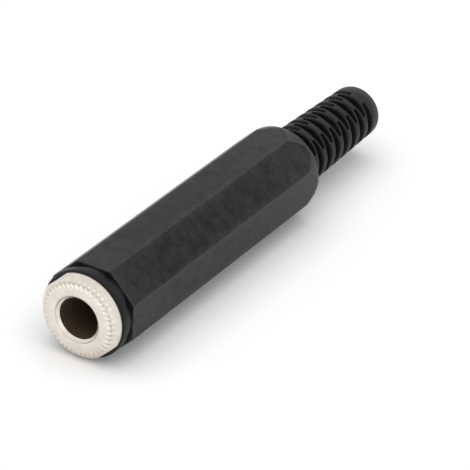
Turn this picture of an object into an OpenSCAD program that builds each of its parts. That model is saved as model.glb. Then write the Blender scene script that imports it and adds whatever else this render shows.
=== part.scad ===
// In-line jack socket for a cable: a plug goes in at the front, a cable comes in at the rear.
// The axis is Y, the mouth faces -Y, and the octagonal housing lies on its lower flat.
// The origin is the centre of the ferrule's front face.

/* [Plug] */
// Diameter of the plug that the socket takes
plug_d = 6.35; // [6.2:0.05:6.5]
// Reach of the plug's tip behind the front face
plug_len = 31; // [30:0.5:33]
// Radial clearance between the plug and the ferrule's bore
plug_clear = 0.125; // [0.06:0.005:0.2]

/* [Ferrule] */
// Radial depth of the flare at the mouth
mouth_flare = 0.3; // [0.1:0.05:0.5]
// Length of the flare at the mouth
mouth_len = 0.9; // [0.4:0.1:1.1]
// Width of the bevel round the front face
bevel_w = 1; // [0.7:0.05:1.4]
// Length of the bevel along the axis
bevel_len = 1.15; // [0.8:0.05:2]
// Thickness of the flange behind the bevel
flange_len = 0.5; // [0.3:0.05:1.2]
// How far the flange's edge stays inside the housing's flats
flange_inset = 0.3; // [0.2:0.05:0.6]
// Depth of the two flats that the ferrule is held by while its lip is swaged
flange_flat = 0.38; // [0.2:0.02:0.5]
// Number of teeth in the knurl
knurl_teeth = 44; // [24:1:60]
// Depth of the knurl at the front face
knurl_depth = 0.18; // [0.1:0.02:0.3]
// Length down the bevel over which the knurl runs out
knurl_len = 0.85; // [0.5:0.05:1.2]
// Share of each tooth's pitch that the groove beside it takes
knurl_share = 0.75; // [0.5:0.05:0.75]
// Wall of the hollow shank behind the flange
shank_wall = 0.65; // [0.5:0.05:0.9]
// Width of the lip that is swaged over the frame's plate
lip_w = 0.33; // [0.2:0.01:0.5]
// Length of the swaged lip
lip_len = 0.5; // [0.3:0.1:0.9]

/* [Collar] */
// Length of the collar in front of the housing
collar_len = 2.35; // [1.6:0.05:4]
// How far the round collar stays inside the housing's flats
collar_inset = 0.05; // [0.05:0.05:0.3]
// Length of the groove at the joint between collar and housing
groove_len = 0.85; // [0.3:0.05:1]
// Depth of that groove
groove_depth = 0.5; // [0.2:0.1:0.8]
// Chamfer on the collar's front edge
collar_chamfer = 0.3; // [0.1:0.05:0.5]
// Length of the threaded neck that goes into the housing
neck_len = 6.25; // [4.5:0.25:9]

/* [Housing] */
// Wall of the housing at the middle of a flat
wall = 1.5; // [1.2:0.1:2.5]
// How much wider the threaded mouth is than the cavity, on the radius
thread_step = 0.3; // [0.15:0.05:0.6]
// Thickness of the rear wall that holds the boot
rear_wall = 3; // [2:0.25:5]
// Length of the rear chamfer at the corners
rear_chamfer_len = 3.4; // [1.5:0.1:5]
// How far the rear face's edge lies inside the flats
rear_chamfer_in = 0.1; // [0.05:0.05:1]

/* [Boot] */
// Diameter of the cable that the boot takes
cable_d = 5; // [4:0.1:5.4]
// Width of the shoulder that keeps the boot in the housing
boot_shoulder = 0.55; // [0.3:0.05:0.8]
// Thickness of the boot's flange inside the housing
boot_flange_len = 1.5; // [1:0.1:2.5]
// How much the boot's radius shrinks towards its end
boot_taper = 0.85; // [0.2:0.05:1.2]
// Plain length of the boot in front of its first slot
boot_plain = 2.4; // [0.4:0.1:3]
// Slots on each side of the boot
slot_count = 7; // [4:1:12]
// Distance from one slot to the next on the same side
slot_pitch = 2.76; // [2.4:0.01:3.5]
// Width of a slot at the boot's surface
slot_w = 1.35; // [0.8:0.05:1.5]
// Width of a slot at its narrow end
slot_tip_w = 0.7; // [0.2:0.05:0.8]
// How far a slot's narrow end reaches past the boot's middle
slot_past = 1.35; // [0.5:0.05:2.4]
// Length of the solid end of the boot
boot_end_len = 1.9; // [1.5:0.1:5]
// Rounding of the boot's end
boot_round = 0.9; // [0.3:0.1:1]
// Wall that is left under the slots
boot_floor = 0.5; // [0.4:0.1:0.9]
// Turn of the boot's mould seam from +X towards +Z
seam_angle = 37; // [0:1:90]

/* [Contacts] */
// Thickness of the frame's sheet
frame_t = 0.6; // [0.4:0.05:0.8]
// Width of the frame's strip
frame_w = 3.6; // [3:0.1:4.2]
// Thickness of the front plate
plate_t = 0.8; // [0.5:0.1:1.2]
// Thickness of the leaf springs
leaf_t = 0.3; // [0.2:0.02:0.4]
// Width of the leaf springs
leaf_w = 3.4; // [3:0.1:3.6]
// Gap between the plug and the leaf springs
leaf_gap = 0.425; // [0.3:0.025:0.5]
// Distance of the ring contact from the end of the plug's tip
ring_contact_back = 10; // [8:0.25:12]
// Distance of the tip contact from the end of the plug's tip
tip_contact_back = 3.5; // [2.5:0.25:4.5]
// How far the corner of the ring contact's hump, before it is bent round, stands into the plug's path
ring_bite = 0.3; // [0.1:0.025:0.35]
// How far the corner of the tip contact's hump, before it is bent round, stands into the plug's path
tip_bite = 0.875; // [0.5:0.025:1]
// Width of the solder lugs
lug_w = 1.8; // [1.2:0.1:2.4]
// Length of the ring leaf's solder lug behind the stack
ring_lug_len = 4.6; // [3:0.1:5.5]
// Length of the tip leaf's solder lug behind the stack
tip_lug_len = 5.2; // [4:0.1:6]
// Diameter of the hole in a solder lug
lug_hole_d = 0.9; // [0.6:0.1:1.1]

/* [Stack] */
// Length of the riveted stack
stack_len = 8; // [7:0.25:10]
// Width of the riveted stack
stack_w = 4.4; // [4:0.1:5]
// Thickness of an insulating wafer
wafer_t = 0.5; // [0.3:0.05:0.7]
// Diameter of a rivet's shank
rivet_d = 1.2; // [1:0.1:1.4]
// Diameter of a rivet's head
rivet_head_d = 2.2; // [1.8:0.1:2.6]
// Height of a rivet's head
rivet_head_h = 0.45; // [0.3:0.05:0.6]
// Wall of a rivet's insulating tube
tube_wall = 0.3; // [0.2:0.05:0.35]

/* [Rear] */
// Length of the cable clamp
clamp_len = 3.5; // [2.5:0.25:5]
// Wall of the insulating sleeve
liner_wall = 0.35; // [0.2:0.05:0.5]

/* [Clearances] */
// Clearance between the ferrule's lip and the frame's strip
lip_clear = 0.07; // [0.04:0.01:0.15]
// Clearance between the strip's corners and the housing's cavity
cavity_clear = 0.133; // [0.1:0.001:0.4]
// Clearance between the collar's neck and the housing's threaded mouth
thread_clear = 0.1; // [0.05:0.05:0.2]
// Clearance of loose pieces in the cavity
loose_clear = 0.2; // [0.15:0.05:0.3]
// Clearance of the boot in the housing
boot_clear = 0.1; // [0.05:0.05:0.2]
// Clearance of pieces that are pushed together
seat_clear = 0.05; // [0.03:0.01:0.08]
// Clearance around the cable in the boot
cable_clear = 0.1; // [0.06:0.02:0.3]

/* [Hidden] */
$fn = 96;
beyond = 1;
sides = 8;
arc_steps = 5;
bend_steps = 4;

// Radii from the plug outwards
plug_r = plug_d / 2;
bore_r = plug_r + plug_clear;
shank_r = bore_r + shank_wall;
shank_hole_r = shank_r + seat_clear;
lip_r = shank_r + lip_w;
strip_top = -(lip_r + lip_clear);
strip_bottom = strip_top - frame_t;
cavity_r = norm([strip_bottom, frame_w / 2]) + cavity_clear;
thread_r = cavity_r + thread_step;
neck_r = thread_r - thread_clear;
plate_r = cavity_r - loose_clear;
flat_r = cavity_r + wall;
corner_r = flat_r / cos(180 / sides);
collar_r = flat_r - collar_inset;
flange_r = flat_r - flange_inset;
flats_w = 2 * (flange_r - flange_flat);
face_r = flange_r - bevel_w;
boot_r = cavity_r - boot_shoulder;
boot_end_r = boot_r - boot_taper;
boot_flange_r = cavity_r - boot_clear;
boot_hole_r = boot_r + boot_clear;
cable_r = cable_d / 2;
boot_bore_r = cable_r + cable_clear;
clamp_in_r = cable_r + frame_t / 2 + seat_clear;
clamp_out_r = clamp_in_r + frame_t + 2 * seat_clear;
liner_r = cavity_r - loose_clear;

// Stations along the axis, from the front to the rear
y_flange = bevel_len;
y_collar = y_flange + flange_len;
y_housing = y_collar + collar_len;
y_plate = y_housing + neck_len;
y_lip = y_plate + plate_t;
stack_gap = 3.4;
y_stack = plug_len + stack_gap;
y_stack_end = y_stack + stack_len;
clamp_gap = 3.6;
y_clamp = y_stack_end + clamp_gap;
frame_tail = 0.7;
y_frame_end = y_clamp + clamp_len + frame_tail;
boot_gap = 1.3;
y_boot = y_frame_end + boot_gap;
y_wall = y_boot + boot_flange_len;
y_rear = y_wall + rear_wall;
y_slots = y_rear + boot_plain;
y_end = y_slots + slot_count * slot_pitch + boot_end_len;
thread_runout = 0.5;
liner_gap = 1.1;
liner_start = 0.6;

// Levels of the stack, from the frame at the bottom to the plate at the top
z_tip = wafer_t / 2 + leaf_t / 2;
z_ring = -z_tip;
z_wafer = z_tip + leaf_t / 2;
z_plate = z_wafer + wafer_t;
z_frame = -z_plate - frame_t / 2;
rivet_inset = 2;
rivet_y = [y_stack + rivet_inset, y_stack_end - rivet_inset];
tube_r = rivet_d / 2 + seat_clear + tube_wall;
wafer_hole_r = tube_r + seat_clear;
rivet_hole_r = rivet_d / 2 + seat_clear;

// Places and levels of the leaves beside the plug
ring_contact_y = plug_len - ring_contact_back;
tip_contact_y = plug_len - tip_contact_back;
leaf_z = plug_r + leaf_gap + leaf_t / 2;
ring_peak_z = plug_r - ring_bite + leaf_t / 2;
tip_peak_z = plug_r - tip_bite + leaf_t / 2;
leaf_bend = 0.5;
frame_bend = 0.8;
contact_half = 1.3;
leaf_end = 1.6;
leaf_flare = 0.1;
leaf_ramp = 2.6;

// Unit vector along v
function unit(v) = v / norm(v);

// The vector v turned a quarter turn to the left
function left_of(v) = [-v[1], v[0]];

// Points of an arc around centre c, from angle a0 to angle a1
function arc(c, r, a0, a1, steps) =
    [for (i = [0 : steps]) c + r * [cos(a0 + (a1 - a0) * i / steps), sin(a0 + (a1 - a0) * i / steps)]];

// Points of the bend of radius r that replaces corner b of the path a, b, c
function bend(a, b, c, r) =
    let (u = unit(a - b), v = unit(c - b), half = acos(u * v) / 2,
         centre = b + unit(u + v) * r / sin(half),
         from = b + u * r / tan(half) - centre,
         turn = (u[0] * v[1] - u[1] * v[0] > 0 ? -1 : 1) * (180 - 2 * half),
         start = atan2(from[1], from[0]))
    arc(centre, r, start, start + turn, bend_steps);

// The path with each inner corner bent to radius r
function bent(path, r) =
    [path[0],
     for (i = [1 : len(path) - 2]) each bend(path[i - 1], path[i], path[i + 1], r),
     path[len(path) - 1]];

// Direction of the edge at point i that keeps a strip's thickness even
function side_at(path, i) =
    let (a = left_of(unit(path[max(i, 1)] - path[max(i, 1) - 1])),
         last = len(path) - 2,
         b = left_of(unit(path[min(i, last) + 1] - path[min(i, last)])))
    (a + b) / (1 + a * b);

// Outline of a strip of thickness t along the path
function strip_outline(path, t) =
    [for (i = [0 : len(path) - 1]) path[i] + side_at(path, i) * t / 2,
     for (i = [len(path) - 1 : -1 : 0]) path[i] - side_at(path, i) * t / 2];

// Body of revolution around the axis, from points [radius, y]
module turned(points) {
    rotate([-90, 0, 0]) rotate_extrude() polygon(points);
}

// Round bar or bore along the axis
module rod(r, y0, y1) {
    translate([0, y0, 0]) rotate([-90, 0, 0]) cylinder(h = y1 - y0, r = r);
}

// Octagonal bar along the axis, with flats on top and at the sides
module octagon_bar(y0, y1) {
    translate([0, y0, 0]) rotate([-90, 0, 0]) rotate(180 / sides)
        cylinder(h = y1 - y0, r = corner_r, $fn = sides);
}

// Strip of sheet metal bent along a path of [y, z] points
module sheet_strip(path, t, w) {
    rotate([90, 0, 90]) linear_extrude(w, center = true) polygon(strip_outline(path, t));
}

// Rectangular layer of the stack at level z0, drilled for both rivets
module stack_layer(z0, t, hole_r) {
    difference() {
        translate([-stack_w / 2, y_stack, z0]) cube([stack_w, stack_len, t]);
        rivet_holes(hole_r);
    }
}

// Holes for both rivets through the whole stack
module rivet_holes(r) {
    reach = z_plate + frame_t + beyond;
    for (y = rivet_y) translate([0, y, -reach]) cylinder(h = 2 * reach, r = r);
}

// Octagonal sleeve with a chamfered rear end, a threaded mouth and a hole for the boot
module housing() {
    rear_edge_r = flat_r - rear_chamfer_in;
    slope = (corner_r - rear_edge_r) / rear_chamfer_len;
    chamfer_start = y_rear - (corner_r + beyond - rear_edge_r) / slope;
    color("#3b3b3a") difference() {
        intersection() {
            octagon_bar(y_housing, y_rear);
            turned([[0, y_housing - beyond], [corner_r + beyond, y_housing - beyond],
                    [corner_r + beyond, chamfer_start], [rear_edge_r, y_rear], [0, y_rear]]);
        }
        rod(thread_r, y_housing - beyond, y_plate + thread_runout);
        rod(cavity_r, y_housing, y_wall);
        rod(boot_hole_r, y_wall - beyond, y_rear + beyond);
    }
}

// Tapered boot with slots from two opposite sides of the mould
module strain_relief_boot() {
    end_round = arc([boot_end_r - boot_round, y_end - boot_round], boot_round, 0, 90, arc_steps);
    color("#2e2c2d") difference() {
        union() {
            difference() {
                turned([[0, y_boot], [boot_flange_r, y_boot], [boot_flange_r, y_wall], [boot_r, y_wall],
                        [boot_r, y_rear], each end_round, [0, y_end]]);
                boot_slots();
            }
            rod(boot_bore_r + boot_floor, y_wall, y_end - boot_end_len / 2);
        }
        rod(boot_bore_r, y_boot - beyond, y_end + beyond);
    }
}

// Slots that narrow past the boot's middle, one row from each side, half a pitch apart
module boot_slots() {
    reach = boot_r + beyond;
    half_w = slot_w / 2;
    half_tip = slot_tip_w / 2;
    for (side = [0, 1], i = [0 : slot_count - 1]) {
        y = y_slots + slot_pitch * (i + 1 / 4 + side / 2);
        rotate([0, -seam_angle - 90 + 180 * side, 0])
            linear_extrude(2 * reach, center = true)
                polygon([[-slot_past, y - half_tip], [slot_past, y - half_w], [reach, y - half_w],
                         [reach, y + half_w], [slot_past, y + half_w], [-slot_past, y + half_tip]]);
    }
}

// Round collar with a groove behind it and the neck that the housing screws on
module front_collar() {
    y_groove = y_housing - groove_len;
    groove_r = collar_r - groove_depth;
    color("#2b292c") difference() {
        turned([[0, y_collar], [collar_r - collar_chamfer, y_collar], [collar_r, y_collar + collar_chamfer],
                [collar_r, y_groove], [groove_r, y_groove], [groove_r, y_housing],
                [neck_r, y_housing], [neck_r, y_plate], [0, y_plate]]);
        rod(shank_hole_r, y_collar - beyond, y_plate + beyond);
    }
}

// Turned ring with a flared mouth, a knurled bevel, a flange with two flats and a swaged shank
module front_ferrule() {
    mouth_r = bore_r + mouth_flare;
    flats_turn = 360 / sides;
    color("#e6ddd3") difference() {
        union() {
            intersection() {
                turned([[0, 0], [face_r, 0], [flange_r, y_flange], [flange_r, y_collar], [0, y_collar]]);
                rotate([0, flats_turn, 0]) translate([-flats_w / 2, -beyond, -corner_r])
                    cube([flats_w, y_collar + 2 * beyond, 2 * corner_r]);
            }
            turned([[0, y_flange], [shank_r, y_flange], [shank_r, y_lip], [lip_r, y_lip],
                    [shank_r, y_lip + lip_len], [0, y_lip + lip_len]]);
        }
        turned([[0, -beyond], [mouth_r, -beyond], [mouth_r, 0], [bore_r, mouth_len],
                [bore_r, y_lip + lip_len + beyond], [0, y_lip + lip_len + beyond]]);
        for (i = [0 : knurl_teeth - 1])
            rotate([0, 360 * i / knurl_teeth, 0]) knurl_groove();
    }
}

// V-shaped cutter that starts in front of the face and comes out of the bevel where the knurl ends
module knurl_groove() {
    slope = atan2(bevel_len, bevel_w) - atan2(knurl_depth, knurl_len);
    lead = 2 * knurl_depth;
    rise = knurl_depth / 4;
    half_w = knurl_share * face_r * sin(180 / knurl_teeth) * (1 + rise / knurl_depth);
    translate([face_r, 0, 0]) rotate(slope) translate([-lead, 0, 0]) rotate([90, 0, 90])
        linear_extrude(lead + 2 * knurl_len)
            polygon([[knurl_depth, 0], [-rise, half_w], [-rise, -half_w]]);
}

// Folded frame: front plate, strip under the plug, joggle, stack seat and cable clamp
module sleeve_frame() {
    z_strip = (strip_top + strip_bottom) / 2;
    z_clamp = -(clamp_in_r + clamp_out_r) / 2;
    joggle = 2.1;
    drop = 1.6;
    y_drop = y_stack_end + 0.4;
    clamp_wrap = 190;
    path = [[y_plate, z_strip], [y_stack - joggle, z_strip], [y_stack, z_frame], [y_drop, z_frame],
            [y_drop + drop, z_clamp], [y_frame_end, z_clamp]];
    color("#cfc9bd") difference() {
        union() {
            rod(plate_r, y_plate, y_lip);
            sheet_strip(bent(path, frame_bend), frame_t, frame_w);
            rotate([-90, 0, 0]) rotate((180 - clamp_wrap) / 2) rotate_extrude(angle = clamp_wrap)
                translate([clamp_in_r, y_clamp]) square([clamp_out_r - clamp_in_r, clamp_len]);
        }
        rod(shank_hole_r, y_plate - beyond, y_lip);
        rivet_holes(rivet_hole_r);
    }
}

// Leaf below the plug: contact hump, riveted part and straight solder lug
module ring_spring() {
    front = ring_contact_y - contact_half - leaf_end;
    y_ramp = y_stack - 0.8;
    lug_end = y_stack_end + ring_lug_len;
    path = [[front, -leaf_z - leaf_flare], [ring_contact_y - contact_half, -leaf_z],
            [ring_contact_y, -ring_peak_z], [ring_contact_y + contact_half, -leaf_z],
            [y_ramp - leaf_ramp, -leaf_z], [y_ramp, z_ring], [y_stack_end, z_ring]];
    color("#c9a86a") difference() {
        union() {
            sheet_strip(bent(path, leaf_bend), leaf_t, leaf_w);
            sheet_strip([[y_stack_end - beyond, z_ring], [lug_end, z_ring]], leaf_t, lug_w);
        }
        rivet_holes(wafer_hole_r);
        lug_hole(lug_end - lug_w / 2, z_ring);
    }
}

// Leaf above the plug: contact hump, riveted part and raised solder lug
module tip_spring() {
    front = tip_contact_y - contact_half - leaf_end / 2;
    y_ramp = y_stack - 0.6;
    y_rise = y_stack_end + 0.8;
    rise = 1.2;
    lug_z = z_plate + frame_t;
    lug_end = y_stack_end + tip_lug_len;
    path = [[front, leaf_z + leaf_flare], [tip_contact_y - contact_half, leaf_z],
            [tip_contact_y, tip_peak_z], [tip_contact_y + contact_half, leaf_z],
            [y_ramp - leaf_ramp, leaf_z], [y_ramp, z_tip], [y_stack_end, z_tip]];
    lug = [[y_stack_end - beyond, z_tip], [y_rise, z_tip], [y_rise + rise, lug_z], [lug_end, lug_z]];
    color("#c9a86a") difference() {
        union() {
            sheet_strip(bent(path, leaf_bend), leaf_t, leaf_w);
            sheet_strip(bent(lug, leaf_bend), leaf_t, lug_w);
        }
        rivet_holes(wafer_hole_r);
        lug_hole(lug_end - lug_w / 2, lug_z);
    }
}

// Hole through a solder lug
module lug_hole(y, z) {
    translate([0, y, z - leaf_t]) cylinder(h = 2 * leaf_t, d = lug_hole_d);
}

// Insulating wafer between the frame and the ring leaf
module lower_wafer() {
    color("#8a5a33") stack_layer(-z_plate, wafer_t, wafer_hole_r);
}

// Insulating wafer between the two leaves
module middle_wafer() {
    color("#8a5a33") stack_layer(-wafer_t / 2, wafer_t, wafer_hole_r);
}

// Insulating wafer on top of the tip leaf
module upper_wafer() {
    color("#8a5a33") stack_layer(z_wafer, wafer_t, wafer_hole_r);
}

// Metal plate that spreads the rivets' pressure
module pressure_plate() {
    color("#cfc9bd") stack_layer(z_plate, frame_t, rivet_hole_r);
}

// Two rivets through the stack, headed at both ends
module stack_rivets() {
    top = z_plate + frame_t;
    head_r = rivet_head_d / 2;
    crown_r = head_r - rivet_head_h;
    color("#d8d2c6") for (y = rivet_y) translate([0, y, 0]) rotate_extrude()
        polygon([[0, -top - rivet_head_h], [crown_r, -top - rivet_head_h], [head_r, -top],
                 [rivet_d / 2, -top], [rivet_d / 2, top],
                 [head_r, top], [crown_r, top + rivet_head_h], [0, top + rivet_head_h]]);
}

// Insulating tubes that keep the rivets away from the leaves
module rivet_tubes() {
    color("#efe9dc") for (y = rivet_y) translate([0, y, -z_plate]) difference() {
        cylinder(h = 2 * z_plate, r = tube_r);
        translate([0, 0, -beyond]) cylinder(h = 2 * (z_plate + beyond), r = rivet_hole_r);
    }
}

// Loose tube over the solder lugs
module insulating_sleeve() {
    color("#dcdad2") difference() {
        rod(liner_r, y_stack + liner_start, y_boot - liner_gap);
        rod(liner_r - liner_wall, y_stack, y_boot);
    }
}

housing();
strain_relief_boot();
front_collar();
front_ferrule();
sleeve_frame();
ring_spring();
tip_spring();
lower_wafer();
middle_wafer();
upper_wafer();
pressure_plate();
stack_rivets();
rivet_tubes();
insulating_sleeve();
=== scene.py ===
import math

import bmesh
import bpy
import numpy as np
from mathutils import Matrix, Vector


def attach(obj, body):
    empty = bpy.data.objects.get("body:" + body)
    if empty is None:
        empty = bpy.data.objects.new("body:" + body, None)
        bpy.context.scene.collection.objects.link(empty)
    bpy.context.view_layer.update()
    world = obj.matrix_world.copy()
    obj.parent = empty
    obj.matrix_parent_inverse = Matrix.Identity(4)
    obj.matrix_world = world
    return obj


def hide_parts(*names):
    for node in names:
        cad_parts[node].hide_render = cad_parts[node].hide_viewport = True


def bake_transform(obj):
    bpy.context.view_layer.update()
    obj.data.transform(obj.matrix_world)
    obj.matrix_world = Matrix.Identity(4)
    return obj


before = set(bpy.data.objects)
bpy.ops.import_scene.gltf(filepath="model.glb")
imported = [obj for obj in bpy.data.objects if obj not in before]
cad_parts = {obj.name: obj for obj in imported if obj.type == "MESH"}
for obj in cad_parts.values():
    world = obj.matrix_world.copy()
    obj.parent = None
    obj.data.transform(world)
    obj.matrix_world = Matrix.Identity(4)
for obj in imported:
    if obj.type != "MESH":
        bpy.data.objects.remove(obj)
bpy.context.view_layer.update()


# Front ferrule
# A ring turned from brass bar and nickel plated, with a knurl on its bevel and two flats on its flange.
# The plug goes in through it, and its shank is swaged over behind the frame's plate.

MM = 0.001
# Radii, then places along the axis behind the front face, both in mm
BORE, LIP, FLARE, MOUTH, FACE_FLAT, FACE_EDGE = 3.3, 3.2, 3.62, 3.72, 5.1, 5.6
FLANGE_EDGE, FLANGE_FLATS, SHANK, SWAGED, SWAGED_END = 6.6, 6.22, 3.95, 4.28, 4.0
FLARE_END, LIP_PLACE, LIP_END, BEVEL_END, FLANGE_BACK = 0.2, 0.5, 0.6, 1.15, 1.65
PLATE_BACK, SHANK_END = 11.05, 11.55
FLATS_TURN = math.radians(135)
TEETH, TOOTH_COLUMNS = 44, 9
# Places down the bevel, the depth of a groove there, and the ease of that corner
GROOVE_ROWS = ((0.02, 0.24, 0.3), (0.3, 0.22, 0), (0.5, 0.14, 0), (0.66, 0.05, 0), (0.8, 0.0, 0))


def colour(hex_code):
    """An sRGB hex colour as linear RGBA."""
    parts = [int(hex_code[i:i + 2], 16) / 255 for i in (1, 3, 5)]
    return [p / 12.92 if p <= 0.04045 else ((p + 0.055) / 1.055) ** 2.4 for p in parts] + [1]


def add(tree, kind, links=None, stops=(), **settings):
    """Adds a node with its settings, sets or links its inputs, and places a ramp's colours."""
    made = tree.nodes.new(kind)
    for key, value in settings.items():
        setattr(made, key, value)
    for key, value in (links or {}).items():
        if isinstance(value, bpy.types.NodeSocket):
            tree.links.new(value, made.inputs[key])
        else:
            made.inputs[key].default_value = value
    for i, (position, hex_code) in enumerate(stops):
        made.color_ramp.elements[i].position = position
        made.color_ramp.elements[i].color = colour(hex_code)
    return made


def new_material(name):
    """An empty material, its node tree, its shader and the Object coordinates."""
    material = bpy.data.materials.new(name)
    material.use_nodes = True
    tree = material.node_tree
    return material, tree, tree.nodes["Principled BSDF"], add(tree, "ShaderNodeTexCoord").outputs["Object"]


# An eased corner has more points where the ease is wide, and takes the most of the paler edge colour, rubbed
# wear and painted edge highlight, in its middle
WIDE_EASE, FEW_POINTS, MANY_POINTS = 0.25, 4, 7
WORN_AND_HIGHLIT, WORN_AND_HIGHLIT_BESIDE = 1.0, 0.3


def section(*corners):
    """Rows of radius, place along the axis and the share of paler edge colour, rubbed wear and painted edge
    highlight, from corners (radius, along, ease in mm).
    """
    shape = np.broadcast_shapes(*[np.shape(v) for corner in corners for v in corner[:2]])
    points = [np.stack([np.broadcast_to(v, shape).astype(float) for v in corner[:2]]) for corner in corners]
    rows, wear_and_highlight = [], []
    for i, (point, corner) in enumerate(zip(points, corners)):
        ease = corner[2]
        if not ease:
            rows.append(point)
            wear_and_highlight.append(0.0)
            continue
        before = points[i - 1] - point
        after = points[(i + 1) % len(points)] - point
        before = before * ease / np.linalg.norm(before, axis=0)
        after = after * ease / np.linalg.norm(after, axis=0)
        for t in np.linspace(0, 1, FEW_POINTS if ease < WIDE_EASE else MANY_POINTS):
            rows.append(point + before * (1 - t) ** 2 + after * t ** 2)
            wear_and_highlight.append(WORN_AND_HIGHLIT if 0 < t < 1 else WORN_AND_HIGHLIT_BESIDE)
    rows = np.array(rows)
    wear_and_highlight = np.reshape(wear_and_highlight, (-1,) + (1,) * len(shape))
    return rows[:, 0], rows[:, 1], np.broadcast_to(wear_and_highlight, rows[:, 0].shape)


def skin(name, rows, angle, wrap=True, loop=True):
    """Mesh over rows of points that stand at these angles round the axis."""
    radius, along, wear_and_highlight = [np.broadcast_to(row if row.ndim == 2 else row[:, None], (len(row), len(angle)))
                           for row in rows]
    points = np.stack([radius * np.cos(angle), along, radius * np.sin(angle)], -1).reshape(-1, 3) * MM
    down, across = radius.shape
    place = np.arange(down * across).reshape(down, across)
    faces = []
    for i in range(down if loop else down - 1):
        for j in range(across if wrap else across - 1):
            k, m = (i + 1) % down, (j + 1) % across
            faces.append((place[i, j], place[i, m], place[k, m], place[k, j]))
    mesh = bpy.data.meshes.new(name)
    mesh.from_pydata(points.tolist(), [], [[int(v) for v in face] for face in faces])
    # This layer marks the paler edge colour: rubbed wear and a painted edge highlight.
    wear_and_highlight_layer = mesh.attributes.new("wear_and_highlight", "FLOAT", "POINT")
    wear_and_highlight_layer.data.foreach_set("value", wear_and_highlight.astype(np.float32).ravel())
    return mesh


def grown(mesh, tree, **inputs):
    """The mesh that a tree of geometry nodes makes of this one."""
    holder = bpy.data.objects.new(mesh.name, mesh)
    bpy.context.scene.collection.objects.link(holder)
    modifier = holder.modifiers.new("grow", "NODES")
    modifier.node_group = tree
    for item in tree.interface.items_tree:
        if item.in_out == "INPUT" and item.name in inputs:
            modifier[item.identifier] = inputs[item.name]
    graph = bpy.context.evaluated_depsgraph_get()
    made = bpy.data.meshes.new_from_object(holder.evaluated_get(graph), depsgraph=graph)
    holder.modifiers.remove(modifier)
    bpy.data.objects.remove(holder)
    made.name = mesh.name
    return made


MERGE_GAP, FINE_GAP, CUT_GAP = 0.001 * MM, 0.0005 * MM, 0.0001 * MM


def piece(name, meshes, material, body, nodes=(), sharp=40):
    """One object from closed meshes, smooth up to an angle, which rides on a body."""
    soup = bmesh.new()
    for mesh in meshes:
        soup.from_mesh(mesh)
    bmesh.ops.remove_doubles(soup, verts=soup.verts, dist=MERGE_GAP)
    bmesh.ops.dissolve_degenerate(soup, edges=soup.edges, dist=FINE_GAP)
    bmesh.ops.recalc_face_normals(soup, faces=soup.faces)
    final = bpy.data.meshes.new(name)
    soup.to_mesh(final)
    soup.free()
    final.shade_smooth()
    final.set_sharp_from_angle(angle=math.radians(sharp))
    obj = bpy.data.objects.new(name, final)
    bpy.context.scene.collection.objects.link(obj)
    weighted = obj.modifiers.new("weighted", "WEIGHTED_NORMAL")
    weighted.keep_sharp = True
    graph = bpy.context.evaluated_depsgraph_get()
    obj.data = bpy.data.meshes.new_from_object(obj.evaluated_get(graph), depsgraph=graph)
    obj.modifiers.remove(weighted)
    obj.data.name = name
    obj.data.materials.clear()
    obj.data.materials.append(material)
    for face in obj.data.polygons:
        face.material_index = 0
    if nodes:
        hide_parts(*nodes)
    if isinstance(body, str):
        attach(obj, body)
    else:
        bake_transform(obj)
    return obj


# Satin nickel plate on turned brass: warm white metal with fine rings from the lathe.
# The rings are 0.05 mm apart on the real one, and four times that here so that they show.
# The knurl's hollows, found by ambient occlusion, are painted a darker grey: painted shade.
# Behind the mouth's lip the bore is painted a dull dark brown and is not metal: painted shade for the inside
# of the hole.
stain_size, lathe_mark, lathe_depth = 1.5 * MM, 0.2 * MM, 0.01 * MM
shade_within, shade_behind, knurl_outside, hollow_size = 3.5 * MM, 0.56 * MM, 4.5 * MM, 0.5 * MM
wave_length = 2 * math.pi / 20  # of a wave texture whose scale is 1
nickel, tree, shader, place = new_material("satin_nickel_plate")
stain = add(tree, "ShaderNodeTexNoise", {"Vector": place, "Scale": 1 / stain_size, "Detail": 5,
                                        "Roughness": 0.6})
plate = add(tree, "ShaderNodeValToRGB", {"Fac": stain.outputs["Fac"]}, ((0.3, "#d7cfc4"), (0.7, "#e7e0d5")))
across = add(tree, "ShaderNodeVectorMath", {0: place, 1: (1, 0, 1)}, operation="MULTIPLY")
from_axis = add(tree, "ShaderNodeVectorMath", {0: across.outputs[0]}, operation="LENGTH")
along = add(tree, "ShaderNodeSeparateXYZ", {0: place})
# Painted shade: the bore behind the lip gets a dull dark brown in place of the plate.
within = add(tree, "ShaderNodeMath", {0: from_axis.outputs["Value"], 1: shade_within}, operation="LESS_THAN")
behind = add(tree, "ShaderNodeMath", {0: along.outputs["Y"], 1: shade_behind}, operation="GREATER_THAN")
bore = add(tree, "ShaderNodeMath", {0: within.outputs[0], 1: behind.outputs[0]}, operation="MULTIPLY")
# Painted shade: ambient occlusion darkens the colour in the knurl's hollows.
open_share = add(tree, "ShaderNodeAmbientOcclusion", {"Distance": hollow_size}, samples=8)
hollow = add(tree, "ShaderNodeMapRange", {"Value": open_share.outputs["AO"], "From Min": 0.96,
                                          "From Max": 0.72})
outer = add(tree, "ShaderNodeMath", {0: from_axis.outputs["Value"], 1: knurl_outside},
            operation="GREATER_THAN")
knurl_shade_mask = add(tree, "ShaderNodeMath", {0: hollow.outputs["Result"], 1: outer.outputs[0]},
               operation="MULTIPLY")
knurl_painted_shade = add(tree, "ShaderNodeMix", {0: knurl_shade_mask.outputs[0], 6: plate.outputs["Color"], 7: colour("#aaa091")},
            data_type="RGBA")
bore_painted_shade = add(tree, "ShaderNodeMix", {0: bore.outputs[0], 6: knurl_painted_shade.outputs[2], 7: colour("#5a4a3d")},
           data_type="RGBA")
tree.links.new(bore_painted_shade.outputs[2], shader.inputs["Base Color"])
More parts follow.
